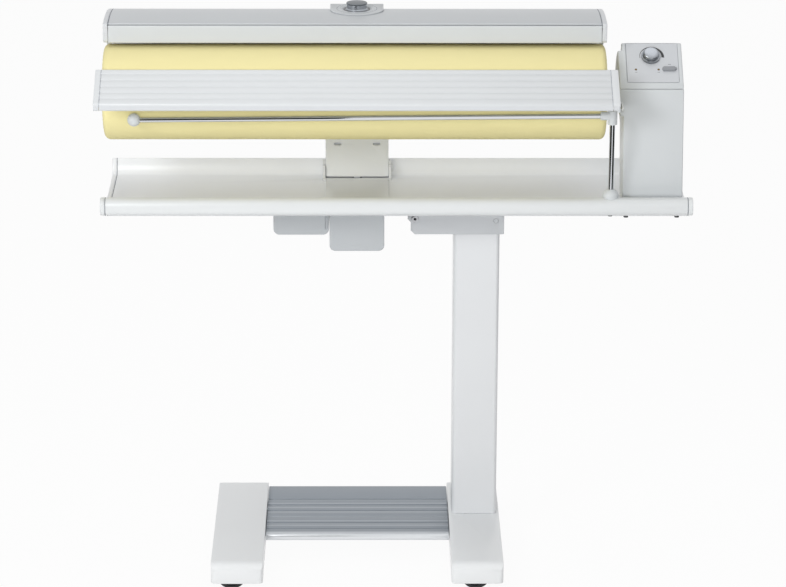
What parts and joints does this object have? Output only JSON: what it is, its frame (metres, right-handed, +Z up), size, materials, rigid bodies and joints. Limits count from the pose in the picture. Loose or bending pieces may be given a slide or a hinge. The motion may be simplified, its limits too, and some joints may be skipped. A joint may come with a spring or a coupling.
{
  "type": "rotary ironer",
  "caption": "Folding floor-standing rotary ironer with a padded roller over a long tray, a curved heated shoe, side console, feed board, laundry rail, column, foot pedal and twin castors.",
  "frame": {"origin": "middle of the whole machine's footprint, on the floor", "axes": "+X to the console end, +Y to the back, +Z up"},
  "size_m": [0.9894, 0.382, 0.9623],
  "materials": {
    "foot_left": "white enamel",
    "foot_right": "white enamel",
    "cross_beam": "pale grey enamel",
    "column": "white enamel",
    "hinge_bracket": "pale grey enamel",
    "fold_pin": "bright steel tube",
    "pedal_pins": "bright steel",
    "pedal_springs": "spring steel",
    "pedal_switch": "black switch body",
    "stand_bolts": "zinc-plated steel",
    "fold_latch": "grey steel",
    "pedal": "blue-grey ribbed plastic",
    "table_tray": "white moulded plastic",
    "table_end_caps": "white moulded plastic",
    "hinge_leaf": "pale grey enamel",
    "table_screws": "dark plated steel",
    "drive_housing": "silver-grey plastic",
    "power_unit": "silver-grey plastic, potted",
    "shoe_gearmotor": "grey steel can",
    "arm_base": "white enamel",
    "console_frame": "cast aluminium",
    "console_shell": "white moulded plastic",
    "console_head": "white moulded plastic",
    "control_panel": "pale grey plate",
    "indicator_lenses": "amber lens",
    "control_board": "green circuit board",
    "roller_motor": "steel can",
    "roller_bearings": "bearing steel",
    "feed_board_bracket": "dark plated steel",
    "rail_socket": "white moulded plastic",
    "cord_gland": "black rubber",
    "motor_pinion": "hardened steel",
    "roller_gear": "grey filled nylon",
    "roller_shaft": "ground steel",
    "roller_drum": "aluminium tube",
    "roller_padding": "felt",
    "roller_cloth": "pale yellow cotton",
    "shoe_cam": "hardened steel",
    "support_arm": "white enamel",
    "ironing_shoe": "polished aluminium",
    "heating_elements": "heat-darkened steel tube",
    "shoe_cover": "white moulded plastic",
    "shoe_end_caps": "white moulded plastic",
    "knob_plate": "pale grey plastic",
    "finger_guard": "white moulded plastic",
    "pressure_knob": "bright metal look",
    "feed_board": "white moulded plastic",
    "feed_board_caps": "white moulded plastic",
    "rail_tubes": "bright chromium plate",
    "rail_fittings": "white moulded plastic",
    "temperature_dial": "satin metal look",
    "power_button": "grey plastic",
    "castor_yoke_fl": "black nylon",
    "castor_wheels_fl": "black soft tread",
    "castor_yoke_fr": "black nylon",
    "castor_wheels_fr": "black soft tread",
    "castor_yoke_rl": "black nylon",
    "castor_wheels_rl": "black soft tread",
    "castor_yoke_rr": "black nylon",
    "castor_wheels_rr": "black soft tread"
  },
  "bodies": {
    "stand": {"foot_left": "foot_left", "foot_right": "foot_right", "cross_beam": "cross_beam", "column": "column", "hinge_bracket": "hinge_bracket", "fold_pin": "fold_pin", "pedal_pins": "pedal_pins", "pedal_springs": "pedal_springs", "pedal_switch": "pedal_switch", "stand_bolts": "stand_bolts"},
    "castor_fl": {"castor_yoke_fl": "castor_yoke_fl"},
    "wheels_fl": {"castor_wheels_fl": "castor_wheels_fl"},
    "castor_fr": {"castor_yoke_fr": "castor_yoke_fr"},
    "wheels_fr": {"castor_wheels_fr": "castor_wheels_fr"},
    "castor_rl": {"castor_yoke_rl": "castor_yoke_rl"},
    "wheels_rl": {"castor_wheels_rl": "castor_wheels_rl"},
    "castor_rr": {"castor_yoke_rr": "castor_yoke_rr"},
    "wheels_rr": {"castor_wheels_rr": "castor_wheels_rr"},
    "pedal": {"pedal": "pedal"},
    "latch": {"fold_latch": "fold_latch"},
    "upper": {"table_tray": "table_tray", "table_end_caps": "table_end_caps", "hinge_leaf": "hinge_leaf", "table_screws": "table_screws", "drive_housing": "drive_housing", "power_unit": "power_unit", "shoe_gearmotor": "shoe_gearmotor", "arm_base": "arm_base", "console_frame": "console_frame", "console_shell": "console_shell", "console_head": "console_head", "control_panel": "control_panel", "indicator_lenses": "indicator_lenses", "control_board": "control_board", "roller_motor": "roller_motor", "roller_bearings": "roller_bearings", "feed_board_bracket": "feed_board_bracket", "rail_socket": "rail_socket", "cord_gland": "cord_gland"},
    "roller": {"roller_gear": "roller_gear", "roller_shaft": "roller_shaft", "roller_drum": "roller_drum", "roller_padding": "roller_padding", "roller_cloth": "roller_cloth"},
    "pinion": {"motor_pinion": "motor_pinion"},
    "shoe": {"support_arm": "support_arm", "ironing_shoe": "ironing_shoe", "heating_elements": "heating_elements", "shoe_cover": "shoe_cover", "shoe_end_caps": "shoe_end_caps", "knob_plate": "knob_plate"},
    "cam": {"shoe_cam": "shoe_cam"},
    "guard": {"finger_guard": "finger_guard"},
    "pressure_knob": {"pressure_knob": "pressure_knob"},
    "feed_board": {"feed_board": "feed_board", "feed_board_caps": "feed_board_caps"},
    "rail": {"rail_tubes": "rail_tubes", "rail_fittings": "rail_fittings"},
    "dial": {"temperature_dial": "temperature_dial"},
    "button": {"power_button": "power_button"}
  },
  "joints": [
    {"name": "castor_swivel_fl", "type": "hinge", "parent": "stand", "child": "castor_fl", "pos_m": [-0.27175, -0.146, 0.042], "axis": [0, 0, 1], "continuous": true},
    {"name": "wheels_roll_fl", "type": "hinge", "parent": "castor_fl", "child": "wheels_fl", "pos_m": [-0.27775, -0.146, 0.025], "axis": [0, 1, 0], "continuous": true},
    {"name": "castor_swivel_fr", "type": "hinge", "parent": "stand", "child": "castor_fr", "pos_m": [0.14425, -0.146, 0.042], "axis": [0, 0, 1], "continuous": true},
    {"name": "wheels_roll_fr", "type": "hinge", "parent": "castor_fr", "child": "wheels_fr", "pos_m": [0.13825, -0.146, 0.025], "axis": [0, 1, 0], "continuous": true},
    {"name": "castor_swivel_rl", "type": "hinge", "parent": "stand", "child": "castor_rl", "pos_m": [-0.27175, 0.144, 0.042], "axis": [0, 0, 1], "continuous": true},
    {"name": "wheels_roll_rl", "type": "hinge", "parent": "castor_rl", "child": "wheels_rl", "pos_m": [-0.27775, 0.144, 0.025], "axis": [0, 1, 0], "continuous": true},
    {"name": "castor_swivel_rr", "type": "hinge", "parent": "stand", "child": "castor_rr", "pos_m": [0.14425, 0.144, 0.042], "axis": [0, 0, 1], "continuous": true},
    {"name": "wheels_roll_rr", "type": "hinge", "parent": "castor_rr", "child": "wheels_rr", "pos_m": [0.13825, 0.144, 0.025], "axis": [0, 1, 0], "continuous": true},
    {"name": "pedal_press", "type": "hinge", "parent": "stand", "child": "pedal", "pos_m": [-0.06375, 0.12599, 0.036], "axis": [1, 0, 0], "range_deg": [0, 3], "stiffness_Nm_per_rad": 6, "springref_deg": -6.88},
    {"name": "latch_turn", "type": "hinge", "parent": "stand", "child": "latch", "pos_m": [0.17225, 0.07, 0.599], "axis": [0, 1, 0], "range_deg": [0, 25], "stiffness_Nm_per_rad": 0.6, "springref_deg": -17.19},
    {"name": "table_fold", "type": "hinge", "parent": "stand", "child": "upper", "pos_m": [0.03425, 0.07, 0.603], "axis": [0, -1, 0], "range_deg": [0, 90]},
    {"name": "roller_spin", "type": "hinge", "parent": "upper", "child": "roller", "pos_m": [0.00225, 0.019, 0.828], "axis": [1, 0, 0], "continuous": true},
    {"name": "pinion_spin", "type": "hinge", "parent": "upper", "child": "pinion", "pos_m": [0.40425, 0.01276, 0.79866], "axis": [1, 0, 0], "continuous": true},
    {"name": "shoe_swing", "type": "hinge", "parent": "upper", "child": "shoe", "pos_m": [-0.06425, 0.171, 0.649], "axis": [1, 0, 0], "range_deg": [0, 2]},
    {"name": "cam_turn", "type": "hinge", "parent": "upper", "child": "cam", "pos_m": [-0.06425, 0.15051, 0.602], "axis": [1, 0, 0], "range_deg": [0, 90]},
    {"name": "guard_push", "type": "hinge", "parent": "shoe", "child": "guard", "pos_m": [-0.06675, 0.0085, 0.94201], "axis": [1, 0, 0], "range_deg": [0, 5], "stiffness_Nm_per_rad": 0.08, "springref_deg": -11.46},
    {"name": "pressure_knob_turn", "type": "hinge", "parent": "shoe", "child": "pressure_knob", "pos_m": [-0.06425, 0.097, 0.955], "axis": [0, 0, 1], "range_deg": [0, 180]},
    {"name": "feed_board_tilt", "type": "hinge", "parent": "upper", "child": "feed_board", "pos_m": [-0.06425, -0.112, 0.8327], "axis": [1, 0, 0], "range_deg": [0, 65]},
    {"name": "rail_swing", "type": "hinge", "parent": "upper", "child": "rail", "pos_m": [0.35825, -0.074, 0.74], "axis": [0, 0, 1], "range_deg": [0, 90]},
    {"name": "temperature_dial_turn", "type": "hinge", "parent": "upper", "child": "dial", "pos_m": [0.42825, 0.03492, 0.88459], "axis": [0, 0.6157, -0.788], "range_deg": [0, 270]},
    {"name": "power_button_press", "type": "slide", "parent": "upper", "child": "button", "axis": [0, 0.6157, -0.788], "range_m": [0, 0.003], "stiffness_N_per_m": 300, "springref_m": -0.004}
  ],
  "couplings": [
    {"joint": "pinion_spin", "follows": "roller_spin", "ratio": -2.3333},
    {"joint": "cam_turn", "follows": "shoe_swing", "ratio": 45}
  ]
}
